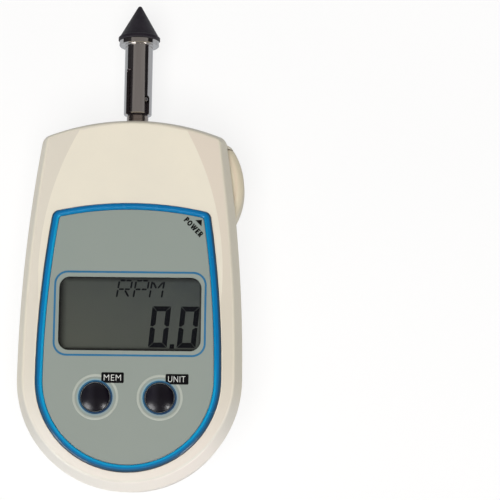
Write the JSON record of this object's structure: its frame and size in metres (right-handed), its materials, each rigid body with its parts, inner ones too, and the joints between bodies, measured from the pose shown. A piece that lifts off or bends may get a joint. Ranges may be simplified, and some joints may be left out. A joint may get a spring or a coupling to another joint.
{
  "type": "contact tachometer",
  "caption": "Hand-held digital contact tachometer: cream case, blue-rimmed panel with a display and keys, side power key, spindle with a slotted adaptor and rubber cone tip.",
  "frame": {"origin": "on the flat back of the case, on its centre line, halfway along the overall length from the bottom end to the cone's tip", "axes": "+Z out of the face, +Y along the spindle towards the cone tip, +X to the right seen from the front"},
  "size_m": [0.0566, 0.128, 0.0316],
  "materials": {
    "case_shell": "cream ABS with a fine spark-eroded grain",
    "bezel": "glossy blue",
    "panel": "satin grey-green film",
    "window": "clear moulded plastic",
    "display": "grey liquid-crystal glass",
    "inner_frame": "black moulded plastic",
    "connector": "striped elastomer",
    "keys": "glossy near-black",
    "side_key": "cream ABS, satin",
    "switches": "black moulded plastic",
    "plungers": "natural nylon",
    "board": "green solder mask",
    "chip": "black moulded epoxy",
    "crystal": "drawn can",
    "sensor": "black moulded plastic",
    "housing": "dark grey moulded nylon",
    "steel": "ground",
    "spindle": "turned",
    "balls": "polished",
    "cages": "nylon",
    "disc": "black acetal",
    "sleeve": "bright nickel plating",
    "cone": "matte black",
    "cells": "plain sleeve on a steel can",
    "contacts": "nickel plating",
    "screws": "zinc plating"
  },
  "bodies": {
    "case": {"rear_case": "case_shell", "front_case": "case_shell", "bezel_ring": "bezel", "front_panel": "panel", "display_window": "window", "display_glass": "display", "display_frame": "inner_frame", "display_connector": "connector", "mem_switch": "switches", "unit_switch": "switches", "power_switch": "switches", "main_board": "board", "controller_chip": "chip", "timing_crystal": "crystal", "light_sensor": "sensor", "bearing_housing": "housing", "front_bearing_outer_ring": "steel", "rear_bearing_outer_ring": "steel", "front_bearing_shields": "steel", "rear_bearing_shields": "steel", "battery_left": "cells", "battery_right": "cells", "battery_springs": "contacts", "contact_plate_left": "contacts", "contact_plate_right": "contacts", "contact_link_plate": "contacts", "case_screws": "screws", "board_screws": "screws", "housing_screws": "screws"},
    "spindle": {"spindle": "spindle", "drive_pin": "steel", "retaining_clip": "steel", "bearing_spacer": "steel", "front_bearing_inner_ring": "steel", "rear_bearing_inner_ring": "steel", "slotted_disc": "disc"},
    "adaptor": {"adaptor_sleeve": "sleeve", "cone_tip": "cone"},
    "front_cage": {"front_bearing_balls": "balls", "front_bearing_cage": "cages"},
    "rear_cage": {"rear_bearing_balls": "balls", "rear_bearing_cage": "cages"},
    "mem_key": {"mem_button": "keys", "mem_switch_plunger": "plungers"},
    "unit_key": {"unit_button": "keys", "unit_switch_plunger": "plungers"},
    "power_key": {"power_button": "side_key", "power_switch_plunger": "plungers"},
    "battery_door": {"battery_door": "case_shell"}
  },
  "joints": [
    {"name": "spindle_spin", "type": "hinge", "parent": "case", "child": "spindle", "pos_m": [0, 0, 0.015], "axis": [0, 1, 0], "continuous": true},
    {"name": "front_cage_spin", "type": "hinge", "parent": "case", "child": "front_cage", "pos_m": [0, 0, 0.015], "axis": [0, 1, 0], "continuous": true},
    {"name": "rear_cage_spin", "type": "hinge", "parent": "case", "child": "rear_cage", "pos_m": [0, 0, 0.015], "axis": [0, 1, 0], "continuous": true},
    {"name": "adaptor_pull", "type": "slide", "parent": "spindle", "child": "adaptor", "axis": [0, 1, 0], "range_m": [0, 0.02]},
    {"name": "mem_press", "type": "slide", "parent": "case", "child": "mem_key", "axis": [0, 0, -1], "range_m": [0, 0.0006], "stiffness_N_per_m": 2000},
    {"name": "unit_press", "type": "slide", "parent": "case", "child": "unit_key", "axis": [0, 0, -1], "range_m": [0, 0.0006], "stiffness_N_per_m": 2000},
    {"name": "power_press", "type": "slide", "parent": "case", "child": "power_key", "axis": [-1, 0, 0], "range_m": [0, 0.001], "stiffness_N_per_m": 2000},
    {"name": "battery_door_slide", "type": "slide", "parent": "case", "child": "battery_door", "axis": [0, -1, 0], "range_m": [0, 0.062]}
  ],
  "couplings": [
    {"joint": "front_cage_spin", "follows": "spindle_spin", "ratio": 0.3846},
    {"joint": "rear_cage_spin", "follows": "spindle_spin", "ratio": 0.3846}
  ]
}
